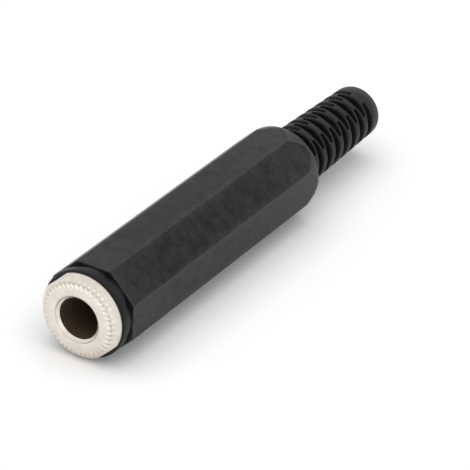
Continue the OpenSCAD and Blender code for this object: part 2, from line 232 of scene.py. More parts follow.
rings = add(tree, "ShaderNodeTexWave", {"Vector": place, "Scale": wave_length / lathe_mark, "Distortion": 1.5,
                                       "Detail": 2}, wave_type="RINGS", rings_direction="Y")
haze = add(tree, "ShaderNodeMapRange", {"Value": stain.outputs["Fac"], "To Min": 0.3, "To Max": 0.42})
tree.links.new(haze.outputs["Result"], shader.inputs["Roughness"])
cut = add(tree, "ShaderNodeBump", {"Height": rings.outputs["Fac"], "Strength": 0.08, "Distance": lathe_depth})
tree.links.new(cut.outputs["Normal"], shader.inputs["Normal"])
metal_outside_bore = add(tree, "ShaderNodeMath", {0: 1.0, 1: bore.outputs[0]}, operation="SUBTRACT")
tree.links.new(metal_outside_bore.outputs[0], shader.inputs["Metallic"])

# One groove of the knurl with the slice of the ring behind it
across_tooth = np.linspace(-0.5, 0.5, TOOTH_COLUMNS)
groove = np.cos(math.pi * across_tooth) ** 2
slope = math.atan2(BEVEL_END, FLANGE_EDGE - FACE_EDGE)


def on_bevel(down, depth, ease):
    """A corner of the section this far down the bevel, with the groove cut to a depth there."""
    return (FACE_EDGE + down * math.cos(slope) - depth * groove * math.sin(slope),
            down * math.sin(slope) + depth * groove * math.cos(slope), ease)


tooth = skin("front_ferrule", section(
    (BORE, SHANK_END, 0.08), (BORE, LIP_END, 0), (LIP, LIP_PLACE, 0.05), (FLARE, FLARE_END, 0.06),
    (MOUTH, 0, 0.04), (FACE_FLAT, 0, 0), *[on_bevel(*row) for row in GROOVE_ROWS],
    (FLANGE_EDGE, BEVEL_END, 0.14), (FLANGE_EDGE, FLANGE_BACK, 0.06), (SHANK, FLANGE_BACK, 0),
    (SHANK, PLATE_BACK, 0), (SWAGED, PLATE_BACK, 0.05), (SWAGED_END, SHANK_END, 0.1)),
    across_tooth * 2 * math.pi / TEETH, wrap=False)

turn_round = bpy.data.node_groups.new("teeth_round_the_axis", "GeometryNodeTree")
turn_round.interface.new_socket("Geometry", in_out="INPUT", socket_type="NodeSocketGeometry")
turn_round.interface.new_socket("Teeth", in_out="INPUT", socket_type="NodeSocketInt")
turn_round.interface.new_socket("Finish", in_out="INPUT", socket_type="NodeSocketMaterial")
turn_round.interface.new_socket("Geometry", in_out="OUTPUT", socket_type="NodeSocketGeometry")
start = add(turn_round, "NodeGroupInput")
spots = add(turn_round, "GeometryNodePoints", {"Count": start.outputs["Teeth"]})
number = add(turn_round, "GeometryNodeInputIndex")
one = add(turn_round, "ShaderNodeMath", {0: 2 * math.pi, 1: start.outputs["Teeth"]}, operation="DIVIDE")
each = add(turn_round, "ShaderNodeMath", {0: number.outputs[0], 1: one.outputs[0]}, operation="MULTIPLY")
angles = add(turn_round, "ShaderNodeCombineXYZ", {"Y": each.outputs[0]})
spin = add(turn_round, "FunctionNodeEulerToRotation", {0: angles.outputs[0]})
around = add(turn_round, "GeometryNodeInstanceOnPoints", {
    "Points": spots.outputs[0], "Instance": start.outputs["Geometry"], "Rotation": spin.outputs[0]})
real = add(turn_round, "GeometryNodeRealizeInstances", {"Geometry": around.outputs[0]})
finished = add(turn_round, "GeometryNodeSetMaterial", {
    "Geometry": real.outputs[0], "Material": start.outputs["Finish"]})
add(turn_round, "NodeGroupOutput", {0: finished.outputs[0]})


def with_flats(mesh, out, turned):
    """The ring with two opposite flats cut on it, this far from the axis in mm."""
    soup = bmesh.new()
    soup.from_mesh(mesh)
    bmesh.ops.remove_doubles(soup, verts=soup.verts, dist=MERGE_GAP)
    facing = Vector((math.cos(turned), 0, math.sin(turned)))
    for side in (facing, -facing):
        cut = bmesh.ops.bisect_plane(soup, geom=soup.verts[:] + soup.edges[:] + soup.faces[:], dist=CUT_GAP,
                                     plane_co=side * out * MM, plane_no=side, clear_outer=True)
        rim = [edge for edge in cut["geom_cut"] if isinstance(edge, bmesh.types.BMEdge)]
        bmesh.ops.holes_fill(soup, edges=rim, sides=0)
    soup.to_mesh(mesh)
    soup.free()
    return mesh


ring = with_flats(grown(tooth, turn_round, Teeth=TEETH, Finish=nickel), FLANGE_FLATS, FLATS_TURN)
piece("ferrule", [ring], nickel, "insert", ["front_ferrule"])


# Front collar
# A round collar moulded in black ABS, with a groove behind it and a neck with the cover's screw thread.
# It is held between the ferrule's flange and the frame's plate.

COLLAR_HOLE, COLLAR_FACE, COLLAR_EDGE, GROOVE_BED, NECK = 4.0, 6.55, 6.85, 6.68, 5.15
CHAMFER_END, GROOVE_START, GROOVE_WALL, COLLAR_END, NECK_END = 1.95, 3.15, 3.25, 4.0, 10.25
THREAD_START, THREAD_PITCH, THREAD_TURNS = 4.7, 1.5, 3.3
THREAD_ROOT, THREAD_CREST = 0.9, 0.35
NECK_THREAD, NECK_THREAD_HEIGHT = 5.1, 0.5
ROUND_COLUMNS = 128

# Semi-gloss black ABS: a polished mould leaves a smooth skin with faint clouding.
cloud_size, peel_size, peel_depth = 2.0 * MM, 0.4 * MM, 0.02 * MM
gloss_abs, tree, shader, place = new_material("semi_gloss_black_abs")
cloud = add(tree, "ShaderNodeTexNoise", {"Vector": place, "Scale": 1 / cloud_size, "Detail": 4})
black = add(tree, "ShaderNodeValToRGB", {"Fac": cloud.outputs["Fac"]}, ((0.3, "#070607"), (0.75, "#0e0d0f")))
# Eased edges are mixed towards a paler grey: rubbed wear and a painted edge highlight.
wear_and_highlight = add(tree, "ShaderNodeAttribute", attribute_name="wear_and_highlight")
wear_and_highlight_mask = add(tree, "ShaderNodeMath", {0: wear_and_highlight.outputs["Fac"], 1: cloud.outputs["Fac"]}, operation="MULTIPLY")
worn_and_highlit = add(tree, "ShaderNodeMix", {0: wear_and_highlight_mask.outputs[0], 6: black.outputs["Color"], 7: colour("#211f22")},
             data_type="RGBA")
tree.links.new(worn_and_highlit.outputs[2], shader.inputs["Base Color"])
sheen = add(tree, "ShaderNodeMapRange", {"Value": cloud.outputs["Fac"], "To Min": 0.36, "To Max": 0.5})
tree.links.new(sheen.outputs["Result"], shader.inputs["Roughness"])
ripple = add(tree, "ShaderNodeTexNoise", {"Vector": place, "Scale": 1 / peel_size, "Detail": 3})
peel = add(tree, "ShaderNodeBump", {"Height": ripple.outputs["Fac"], "Strength": 0.15,
                                    "Distance": peel_depth})
tree.links.new(peel.outputs["Normal"], shader.inputs["Normal"])
shader.inputs["IOR"].default_value = 1.52
shader.inputs["Specular IOR Level"].default_value = 0.2

round_turn = np.linspace(0, 2 * math.pi, ROUND_COLUMNS, endpoint=False)
collar = skin("front_collar", section(
    (COLLAR_HOLE, FLANGE_BACK, 0), (COLLAR_FACE, FLANGE_BACK, 0.1), (COLLAR_EDGE, CHAMFER_END, 0.12),
    (COLLAR_EDGE, GROOVE_START, 0.12), (GROOVE_BED, GROOVE_WALL, 0), (GROOVE_BED, COLLAR_END, 0),
    (NECK, COLLAR_END, 0), (NECK, NECK_END, 0.3), (COLLAR_HOLE, NECK_END, 0)), round_turn)
piece("collar", [collar], gloss_abs, "insert", ["front_collar"])

# The thread is a ridge that runs along a right-handed spiral, and fades out at both ends
screw = bpy.data.node_groups.new("screw_thread", "GeometryNodeTree")
for label in ("Radius", "Pitch", "Turns", "Height", "Outward", "Root Width", "Crest Width", "Start",
              "Phase"):
    screw.interface.new_socket(label, in_out="INPUT", socket_type="NodeSocketFloat")
screw.interface.new_socket("Finish", in_out="INPUT", socket_type="NodeSocketMaterial")
screw.interface.new_socket("Geometry", in_out="OUTPUT", socket_type="NodeSocketGeometry")
start = add(screw, "NodeGroupInput")
rise = add(screw, "ShaderNodeMath", {0: start.outputs["Pitch"], 1: start.outputs["Turns"]},
           operation="MULTIPLY")
spiral = add(screw, "GeometryNodeCurveSpiral", {
    "Resolution": 64, "Rotations": start.outputs["Turns"], "Start Radius": start.outputs["Radius"],
    "End Radius": start.outputs["Radius"], "Height": rise.outputs[0], "Reverse": True})
upright = add(screw, "GeometryNodeSetCurveNormal", {"Curve": spiral.outputs[0]}, mode="Z_UP")
share = add(screw, "GeometryNodeSplineParameter")
left = add(screw, "ShaderNodeMath", {0: 1.0, 1: share.outputs["Factor"]}, operation="SUBTRACT")
to_end = add(screw, "ShaderNodeMath", {0: share.outputs["Factor"], 1: left.outputs[0]}, operation="MINIMUM")
fade = add(screw, "ShaderNodeMapRange", {"Value": to_end.outputs[0], "From Max": 0.08, "To Min": 0.02})
faded = add(screw, "GeometryNodeSetCurveRadius", {"Curve": upright.outputs[0], "Radius": fade.outputs[0]})
ridge = add(screw, "GeometryNodeCurvePrimitiveQuadrilateral", {
    "Height": start.outputs["Height"], "Bottom Width": start.outputs["Root Width"],
    "Top Width": start.outputs["Crest Width"], "Offset": 0.0}, mode="TRAPEZOID")
quarter = add(screw, "ShaderNodeMath", {0: start.outputs["Outward"], 1: -math.pi / 2}, operation="MULTIPLY")
tipped = add(screw, "ShaderNodeCombineXYZ", {"Z": quarter.outputs[0]})
tip = add(screw, "FunctionNodeEulerToRotation", {0: tipped.outputs[0]})
half = add(screw, "ShaderNodeMath", {0: start.outputs["Height"], 1: 0.5}, operation="MULTIPLY")
half_up = add(screw, "ShaderNodeMath", {0: half.outputs[0], 1: start.outputs["Outward"]},
              operation="MULTIPLY")
lift = add(screw, "ShaderNodeCombineXYZ", {"X": half_up.outputs[0]})
stood = add(screw, "GeometryNodeTransform", {
    0: ridge.outputs[0], "Rotation": tip.outputs[0], "Translation": lift.outputs[0]})
swept = add(screw, "GeometryNodeCurveToMesh", {
    "Curve": faded.outputs[0], "Profile Curve": stood.outputs[0], "Fill Caps": True})
back_from_face = add(screw, "ShaderNodeCombineXYZ", {"Y": start.outputs["Start"]})
on_axis = add(screw, "ShaderNodeCombineXYZ", {"X": -math.pi / 2, "Y": start.outputs["Phase"]})
lay = add(screw, "FunctionNodeEulerToRotation", {0: on_axis.outputs[0]})
laid = add(screw, "GeometryNodeTransform", {
    0: swept.outputs[0], "Translation": back_from_face.outputs[0], "Rotation": lay.outputs[0]})
real = add(screw, "GeometryNodeRealizeInstances", {"Geometry": laid.outputs[0]})
finished = add(screw, "GeometryNodeSetMaterial", {
    "Geometry": real.outputs[0], "Material": start.outputs["Finish"]})
add(screw, "NodeGroupOutput", {0: finished.outputs[0]})

thread = {"Start": THREAD_START * MM, "Pitch": THREAD_PITCH * MM, "Turns": THREAD_TURNS,
          "Root Width": THREAD_ROOT * MM, "Crest Width": THREAD_CREST * MM}
neck_thread = grown(bpy.data.meshes.new("neck_thread"), screw, Radius=NECK_THREAD * MM,
                    Height=NECK_THREAD_HEIGHT * MM, Outward=1.0, Phase=0.0, Finish=gloss_abs, **thread)
piece("collar_thread", [neck_thread], gloss_abs, "insert")


# Sleeve frame
# A plate, a strip and a cable clamp folded from one piece of nickel-plated steel sheet.
# It is the socket's sleeve contact, and the ferrule's lip holds it to the collar.

SHEET_EASE = 0.08


def from_solid(node, edge, cuts=()):
    """A CAD node's mesh in clean faces, cut across at these places and with its edges eased, in mm."""
    soup = bmesh.new()
    soup.from_mesh(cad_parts[node].data)
    bmesh.ops.remove_doubles(soup, verts=soup.verts, dist=FINE_GAP)
    bmesh.ops.dissolve_limit(soup, angle_limit=math.radians(1), verts=soup.verts, edges=soup.edges)
    for y in cuts:
        bmesh.ops.bisect_plane(soup, geom=soup.verts[:] + soup.edges[:] + soup.faces[:], dist=CUT_GAP,
                               plane_co=(0, y * MM, 0), plane_no=(0, 1, 0))
    mesh = bpy.data.meshes.new(node)
    soup.to_mesh(mesh)
    soup.free()
    holder = bpy.data.objects.new(node, mesh)
    bpy.context.scene.collection.objects.link(holder)
    ease = holder.modifiers.new("ease", "BEVEL")
    ease.width, ease.segments, ease.limit_method = edge * MM, 2, "ANGLE"
    ease.angle_limit, ease.use_clamp_overlap = math.radians(45), True
    graph = bpy.context.evaluated_depsgraph_get()
    made = bpy.data.meshes.new_from_object(holder.evaluated_get(graph), depsgraph=graph)
    bpy.data.objects.remove(holder)
    return made


# Nickel-plated steel sheet: cool grey metal with rolling streaks along the strip.
streak_width, streak_length, streak_depth = 0.12 * MM, 4 * MM, 0.01 * MM
sheet_nickel, tree, shader, place = new_material("nickel_plated_steel_sheet")
along_strip = add(tree, "ShaderNodeMapping", {
    "Vector": place, "Scale": (1 / streak_width, 1 / streak_length, 1 / streak_width)})
streak = add(tree, "ShaderNodeTexNoise", {"Vector": along_strip.outputs[0], "Scale": 1, "Detail": 4})
tone = add(tree, "ShaderNodeValToRGB", {"Fac": streak.outputs["Fac"]}, ((0.3, "#b9b3a8"), (0.7, "#d6d1c7")))
tree.links.new(tone.outputs["Color"], shader.inputs["Base Color"])
rolled = add(tree, "ShaderNodeMapRange", {"Value": streak.outputs["Fac"], "To Min": 0.22, "To Max": 0.42})
tree.links.new(rolled.outputs["Result"], shader.inputs["Roughness"])
grain = add(tree, "ShaderNodeBump", {"Height": streak.outputs["Fac"], "Strength": 0.1,
                                     "Distance": streak_depth})
tree.links.new(grain.outputs["Normal"], shader.inputs["Normal"])
shader.inputs["Metallic"].default_value = 1.0

piece("frame_strip", [from_solid("sleeve_frame", SHEET_EASE)], sheet_nickel, "insert",
      ["sleeve_frame"])


# Contact stack
# Two bronze leaves between three phenolic wafers, with a steel plate on top.
# The stack is riveted to the frame, and each leaf runs on forward from the stack's front edge.

STACK_FRONT, BEND_START, LEAF_LEVEL = 34.4, 30.5, 0.4
LEAF_EASE, WAFER_EASE = 0.05, 0.05
LEAF_CUTS = np.arange(16, 35, 0.5)

# Phosphor bronze strip: yellow-brown metal, rolled bright, duller and redder where it has been handled.
streak_size, streak_depth, tarnish_size = (0.1 * MM, 3 * MM, 0.6 * MM), 0.01 * MM, 4 * MM
bronze, tree, shader, place = new_material("phosphor_bronze_strip")
along_leaf = add(tree, "ShaderNodeMapping", {"Vector": place, "Scale": [1 / size for size in streak_size]})
streak = add(tree, "ShaderNodeTexNoise", {"Vector": along_leaf.outputs[0], "Scale": 1, "Detail": 4})
tarnish = add(tree, "ShaderNodeTexNoise", {"Vector": place, "Scale": 1 / tarnish_size, "Detail": 3})
tone = add(tree, "ShaderNodeValToRGB", {"Fac": tarnish.outputs["Fac"]},
           ((0.35, "#b88a52"), (0.65, "#d9b878")))
tree.links.new(tone.outputs["Color"], shader.inputs["Base Color"])
rolled = add(tree, "ShaderNodeMapRange", {"Value": streak.outputs["Fac"], "To Min": 0.18, "To Max": 0.38})
tree.links.new(rolled.outputs["Result"], shader.inputs["Roughness"])
grain = add(tree, "ShaderNodeBump", {"Height": streak.outputs["Fac"], "Strength": 0.08,
                                    "Distance": streak_depth})
tree.links.new(grain.outputs["Normal"], shader.inputs["Normal"])
shader.inputs["Metallic"].default_value = 1.0

for name, level in (("tip", LEAF_LEVEL), ("ring", -LEAF_LEVEL)):
    held, free = (0, STACK_FRONT * MM, level * MM), (0, BEND_START * MM, level * MM)
    piece(name + "_leaf", [from_solid(name + "_spring", LEAF_EASE, LEAF_CUTS)], bronze,
          ("insert", name + "_contact", held, free), [name + "_spring"])

# Phenolic paper board: matt brown sheet with paper fibres, sawn edges a little paler.
fibre_size, fibre_depth = (0.5 * MM, 0.2 * MM, 0.05 * MM), 0.02 * MM
board, tree, shader, place = new_material("phenolic_paper_board")
along_fibre = add(tree, "ShaderNodeMapping", {"Vector": place, "Scale": [1 / size for size in fibre_size]})
fibre = add(tree, "ShaderNodeTexNoise", {"Vector": along_fibre.outputs[0], "Scale": 1, "Detail": 6})
tone = add(tree, "ShaderNodeValToRGB", {"Fac": fibre.outputs["Fac"]}, ((0.3, "#6d4022"), (0.7, "#96633a")))
tree.links.new(tone.outputs["Color"], shader.inputs["Base Color"])
matt = add(tree, "ShaderNodeMapRange", {"Value": fibre.outputs["Fac"], "To Min": 0.5, "To Max": 0.7})
tree.links.new(matt.outputs["Result"], shader.inputs["Roughness"])
nap = add(tree, "ShaderNodeBump", {"Height": fibre.outputs["Fac"], "Strength": 0.2, "Distance": fibre_depth})
tree.links.new(nap.outputs["Normal"], shader.inputs["Normal"])
shader.inputs["IOR"].default_value = 1.55

for name in ("lower_wafer", "middle_wafer", "upper_wafer"):
    piece(name + "_board", [from_solid(name, WAFER_EASE)], board, "insert", [name])
piece("clamp_plate", [from_solid("pressure_plate", SHEET_EASE)], sheet_nickel, "insert",
      ["pressure_plate"])


# Rivets and their tubes
# Two bright rivets hold the stack, headed over at both ends.
# A nylon tube round each shank keeps it away from the leaves.

FIRST_RIVET, RIVETS, RIVET_GAP, RIVET_COLUMNS = 36.4, 2, 4.0, 32
# Radii of a rivet, then heights from the middle of the stack
RIVET_TOP, RIVET_DOME, RIVET_HEAD, RIVET_SHANK = 0.35, 0.75, 1.1, 0.6
TOP_UP, DOME_UP, HEAD_UP, STACK_UP = 2.1, 2.02, 1.8, 1.65
TUBE_INSIDE, TUBE_OUTSIDE, TUBE_UP, TUBE_EASE = 0.65, 0.95, 1.05, 0.03

row_along = bpy.data.node_groups.new("row_along_the_axis", "GeometryNodeTree")
row_along.interface.new_socket("Geometry", in_out="INPUT", socket_type="NodeSocketGeometry")
row_along.interface.new_socket("Count", in_out="INPUT", socket_type="NodeSocketInt")
row_along.interface.new_socket("Pitch", in_out="INPUT", socket_type="NodeSocketFloat")
row_along.interface.new_socket("Finish", in_out="INPUT", socket_type="NodeSocketMaterial")
row_along.interface.new_socket("Geometry", in_out="OUTPUT", socket_type="NodeSocketGeometry")
start = add(row_along, "NodeGroupInput")
step = add(row_along, "ShaderNodeCombineXYZ", {"Y": start.outputs["Pitch"]})
line = add(row_along, "GeometryNodeMeshLine", {"Count": start.outputs["Count"], "Offset": step.outputs[0]})
spread = add(row_along, "GeometryNodeInstanceOnPoints", {
    "Points": line.outputs[0], "Instance": start.outputs["Geometry"]})
real = add(row_along, "GeometryNodeRealizeInstances", {"Geometry": spread.outputs[0]})
finished = add(row_along, "GeometryNodeSetMaterial", {
    "Geometry": real.outputs[0], "Material": start.outputs["Finish"]})
add(row_along, "NodeGroupOutput", {0: finished.outputs[0]})

# Bright aluminium: pale metal with hammer dimples on the heads.
dimple_size, dimple_depth = 0.5 * MM, 0.05 * MM
aluminium, tree, shader, place = new_material("bright_aluminium")
dimple = add(tree, "ShaderNodeTexVoronoi", {"Vector": place, "Scale": 1 / dimple_size}, feature="SMOOTH_F1")
tone = add(tree, "ShaderNodeValToRGB", {"Fac": dimple.outputs["Distance"]},
           ((0.1, "#d9d6d0"), (0.8, "#c4c0b8")))
tree.links.new(tone.outputs["Color"], shader.inputs["Base Color"])
dulled = add(tree, "ShaderNodeMapRange", {"Value": dimple.outputs["Distance"], "To Min": 0.25, "To Max": 0.4})
tree.links.new(dulled.outputs["Result"], shader.inputs["Roughness"])
struck = add(tree, "ShaderNodeBump", {"Height": dimple.outputs["Distance"], "Strength": 0.2,
                                     "Distance": dimple_depth})
tree.links.new(struck.outputs["Normal"], shader.inputs["Normal"])
shader.inputs["Metallic"].default_value = 1.0

rivet_turn = np.linspace(0, 2 * math.pi, RIVET_COLUMNS, endpoint=False)


def stood_up(mesh, y):
    """The mesh with its axis turned from Y to Z and moved along, in mm."""
    mesh.transform(Matrix.Translation((0, y * MM, 0)) @ Matrix.Rotation(math.pi / 2, 4, "X"))
    return mesh


def closed_ends(mesh):
    """The mesh with its open rings filled."""
    soup = bmesh.new()
    soup.from_mesh(mesh)
    bmesh.ops.holes_fill(soup, edges=soup.edges, sides=0)
    soup.to_mesh(mesh)
    soup.free()
    return mesh


upper_half = [(RIVET_SHANK, STACK_UP, 0), (RIVET_HEAD, STACK_UP, 0), (RIVET_HEAD, HEAD_UP, 0.1),
              (RIVET_DOME, DOME_UP, 0.15), (RIVET_TOP, TOP_UP, 0)]
lower_half = [(radius, -up, ease) for radius, up, ease in upper_half[::-1]]
rivet = closed_ends(skin("rivet", section(*lower_half, *upper_half), rivet_turn, loop=False))
rivets = grown(stood_up(rivet, FIRST_RIVET), row_along, Count=RIVETS, Pitch=RIVET_GAP * MM, Finish=aluminium)
piece("rivets", [rivets], aluminium, "insert", ["stack_rivets"])

# Natural nylon tube: cream, waxy and slightly cloudy.
wax_size, wax_depth = 0.6 * MM, 0.02 * MM
nylon, tree, shader, place = new_material("natural_nylon")
wax = add(tree, "ShaderNodeTexNoise", {"Vector": place, "Scale": 1 / wax_size, "Detail": 3})
tone = add(tree, "ShaderNodeValToRGB", {"Fac": wax.outputs["Fac"]}, ((0.3, "#e3dac6"), (0.7, "#efe9dc")))
tree.links.new(tone.outputs["Color"], shader.inputs["Base Color"])
soft = add(tree, "ShaderNodeBump", {"Height": wax.outputs["Fac"], "Strength": 0.1, "Distance": wax_depth})
tree.links.new(soft.outputs["Normal"], shader.inputs["Normal"])
shader.inputs["Roughness"].default_value = 0.45
shader.inputs["IOR"].default_value = 1.53


def pipe(inside, outside, front, back, ease):
    """The section of a plain pipe with eased edges."""
    return section((inside, front, ease), (outside, front, ease), (outside, back, ease), (inside, back, ease))


tube = skin("tube", pipe(TUBE_INSIDE, TUBE_OUTSIDE, -TUBE_UP, TUBE_UP, TUBE_EASE), rivet_turn)
tubes = grown(stood_up(tube, FIRST_RIVET), row_along, Count=RIVETS, Pitch=RIVET_GAP * MM, Finish=nylon)
piece("tubes", [tubes], nylon, "insert", ["rivet_tubes"])


# Insulating sleeve
# A loose tube of thin milky polythene over the solder lugs.
# It slides off with the cover when the cable is joined.

LINER_INSIDE, LINER_OUTSIDE, LINER_FRONT, LINER_BACK, LINER_EASE = 4.85, 5.2, 35.0, 50.4, 0.08

# Milky polythene: pale, waxy and half clear, with long faint streaks from the extruder.
flow_size, flow_depth = (1 * MM, 6 * MM, 1 * MM), 0.03 * MM
polythene, tree, shader, place = new_material("milky_polythene")
along_flow = add(tree, "ShaderNodeMapping", {"Vector": place, "Scale": [1 / size for size in flow_size]})
flow = add(tree, "ShaderNodeTexNoise", {"Vector": along_flow.outputs[0], "Scale": 1, "Detail": 3})
tone = add(tree, "ShaderNodeValToRGB", {"Fac": flow.outputs["Fac"]}, ((0.3, "#d3d2ca"), (0.7, "#e4e3dc")))
tree.links.new(tone.outputs["Color"], shader.inputs["Base Color"])
drawn = add(tree, "ShaderNodeBump", {"Height": flow.outputs["Fac"], "Strength": 0.1, "Distance": flow_depth})
tree.links.new(drawn.outputs["Normal"], shader.inputs["Normal"])
shader.inputs["Roughness"].default_value = 0.35
shader.inputs["IOR"].default_value = 1.51
shader.inputs["Transmission Weight"].default_value = 0.35

liner = skin("liner", pipe(LINER_INSIDE, LINER_OUTSIDE, LINER_FRONT, LINER_BACK, LINER_EASE), round_turn)
piece("liner_tube", [liner], polythene, "liner", ["insulating_sleeve"])


# Strain-relief boot
# A tapered sleeve moulded in soft black vinyl, which the cable goes through.
# Steel blades leave two slots in each ring of it, and the next ring's slots stand a quarter turn away.

CABLE_HOLE, BOOT_FLANGE, BOOT_NECK = 2.6, 5.3, 4.85
FLANGE_FRONT, REAR_WALL, REAR = 51.5, 53.0, 56.0
BOOT_FRONT, BOOT_TIP, TAPER_END = 4.96, 4.28, 78.72
BOOT_EDGE, BOOT_END, BOOT_END_EASE = 4.25, 79.62, 0.9
FIRST_SLOT, SLOT_PITCH, SLOT_ROWS = 58.2, 2.68, 7
SLOT_FLOOR, SLOT_WIDTH, SLOT_TIP, SLOT_NARROWS = 3.1, 1.3, 0.6, math.radians(34)
SHORT_BLADE, SHORT_REACH = math.radians(66), math.radians(39)
LONG_BLADE, LONG_REACH = math.radians(158), math.radians(74)
RIB_EASE, RIB_EASE_SHARE, RIB_WEAR_AND_HIGHLIGHT = 0.3, 0.42, 0.6
BOOT_COLUMNS, END_STEP = 144, 0.008

# Columns stand close together where a slot ends
slot_ends = [blade + half_turn + side * reach + step
             for blade, reach in ((SHORT_BLADE, SHORT_REACH), (LONG_BLADE, LONG_REACH))
             for half_turn in (0, math.pi) for side in (-1, 1) for step in (-END_STEP, END_STEP)]
boot_turn = np.sort(np.concatenate([np.linspace(0, 2 * math.pi, BOOT_COLUMNS, endpoint=False),
                                    np.mod(slot_ends, 2 * math.pi)]))


def slot_half(blade, reach):
    """Half the width of a ring's two slots, which narrow towards their ends."""
    off = np.arccos(np.abs(np.cos(boot_turn - blade)))
    share = np.clip((reach - off) / SLOT_NARROWS, 0, 1)
    return np.where(off < reach, SLOT_TIP + (SLOT_WIDTH - SLOT_TIP) * share, 0) / 2


short_half = slot_half(SHORT_BLADE, SHORT_REACH)
long_half = slot_half(LONG_BLADE, LONG_REACH)
rib_ease = np.minimum(RIB_EASE, RIB_EASE_SHARE * (SLOT_PITCH / 2 - short_half - long_half))


def slot_rows(centre, half):
    """Rows down one wall of a slot and up the other, with the ribs beside it rounded over."""
    ease = np.where(half > 0, rib_ease, 0)
    wall = [(BOOT_FRONT - ease * (1 - math.sin(t)), half + ease * (1 - math.cos(t)), RIB_WEAR_AND_HIGHLIGHT * math.cos(t))
            for t in (math.pi / 2, math.pi / 3, math.pi / 6, 0)]
    wall.append((np.where(half > 0, SLOT_FLOOR, BOOT_FRONT), half, 0.0))
    return ([(radius, centre - out, wear_and_highlight) for radius, out, wear_and_highlight in wall]
            + [(radius, centre + out, wear_and_highlight) for radius, out, wear_and_highlight in wall[::-1]])


rib_middle = (long_half - short_half) / 2
rib_rows = [(BOOT_FRONT, rib_middle, 0.0), *slot_rows(SLOT_PITCH / 4, short_half),
            (BOOT_FRONT, SLOT_PITCH / 2 - rib_middle, 0.0), *slot_rows(SLOT_PITCH * 3 / 4, long_half),
            (BOOT_FRONT, SLOT_PITCH + rib_middle, 0.0)]
one_pitch = skin("boot", [np.array([np.broadcast_to(value, boot_turn.shape) for value in column])
                          for column in zip(*rib_rows)], boot_turn, loop=False)
one_pitch.transform(Matrix.Translation((0, FIRST_SLOT * MM, 0)))

# Soft black vinyl: a dull skin, browner and greyer on the end where it rubs.
bloom_size, pore_size, pore_depth = 1.2 * MM, 0.15 * MM, 0.02 * MM
rub_start, rub_full = 77.6 * MM, 78.8 * MM
vinyl, tree, shader, place = new_material("soft_black_vinyl")
bloom = add(tree, "ShaderNodeTexNoise", {"Vector": place, "Scale": 1 / bloom_size, "Detail": 4})
tone = add(tree, "ShaderNodeValToRGB", {"Fac": bloom.outputs["Fac"]}, ((0.3, "#0f0e0f"), (0.75, "#1c1a1b")))
along = add(tree, "ShaderNodeSeparateXYZ", {0: place})
at_end = add(tree, "ShaderNodeMapRange", {"Value": along.outputs["Y"], "From Min": rub_start,
                                         "From Max": rub_full})
worn_end = add(tree, "ShaderNodeMix", {0: at_end.outputs["Result"], 6: tone.outputs["Color"],
                                       7: colour("#3d3632")}, data_type="RGBA")
tree.links.new(worn_end.outputs[2], shader.inputs["Base Color"])
dull = add(tree, "ShaderNodeMapRange", {"Value": bloom.outputs["Fac"], "To Min": 0.42, "To Max": 0.58})
tree.links.new(dull.outputs["Result"], shader.inputs["Roughness"])
pore = add(tree, "ShaderNodeTexNoise", {"Vector": place, "Scale": 1 / pore_size, "Detail": 2})
pitted = add(tree, "ShaderNodeBump", {"Height": pore.outputs["Fac"], "Strength": 0.15,
                                      "Distance": pore_depth})
tree.links.new(pitted.outputs["Normal"], shader.inputs["Normal"])
shader.inputs["IOR"].default_value = 1.52
shader.inputs["Specular IOR Level"].default_value = 0.24


def boot_radius(along):
    """The boot's outside at a place along the axis, in mm."""
    return BOOT_FRONT + (BOOT_TIP - BOOT_FRONT) * (along - REAR) / (TAPER_END - REAR)


def tapered(mesh):
    """The boot's ribs drawn in towards its end, with the floor of the slots left where it is."""
    for vertex in mesh.vertices:
        radius = math.hypot(vertex.co.x, vertex.co.z) / MM
        rib_share = (radius - SLOT_FLOOR) / (BOOT_FRONT - SLOT_FLOOR)
        drawn_in = SLOT_FLOOR + rib_share * (boot_radius(vertex.co.y / MM) - SLOT_FLOOR)
        vertex.co.x *= drawn_in / radius
        vertex.co.z *= drawn_in / radius
    return mesh


ribbed = tapered(grown(one_pitch, row_along, Count=SLOT_ROWS, Pitch=SLOT_PITCH * MM, Finish=vinyl))
ribs_start = FIRST_SLOT + rib_middle
ribs_end = ribs_start + SLOT_PITCH * SLOT_ROWS
plain = skin("boot_plain", section(
    (boot_radius(ribs_end), ribs_end, 0), (BOOT_EDGE, BOOT_END, BOOT_END_EASE), (CABLE_HOLE, BOOT_END, 0.15),
    (CABLE_HOLE, FLANGE_FRONT, 0.15), (BOOT_FLANGE, FLANGE_FRONT, 0.15), (BOOT_FLANGE, REAR_WALL, 0.1),
    (BOOT_NECK, REAR_WALL, 0), (BOOT_NECK, REAR, 0), (boot_radius(ribs_start), ribs_start, 0)),
    boot_turn, loop=False)
piece("boot_sleeve", [ribbed, plain], vinyl, "boot", ["strain_relief_boot"])


# Housing
# The octagonal cover, moulded in satin black ABS with a chamfered rear end.
# It screws on to the collar's neck and holds the boot by its flange.

SIDES, FLAT, CORNER_EASE, CORNER_COLUMNS = 8, 6.9, 0.35, 7
COVER_MOUTH, MOUTH_END, CAVITY, BOOT_HOLE = 5.7, 10.75, 5.4, 4.95
REAR_EDGE, CHAMFER_LENGTH = 6.8, 3.4
MOUTH_THREAD, MOUTH_THREAD_HEIGHT = 5.75, 0.42
LONG_ROWS = (16.0, 28.0, 40.0)
CORNER_TURN, CORNER_WEAR_AND_HIGHLIGHT = math.radians(21.4), 0.3


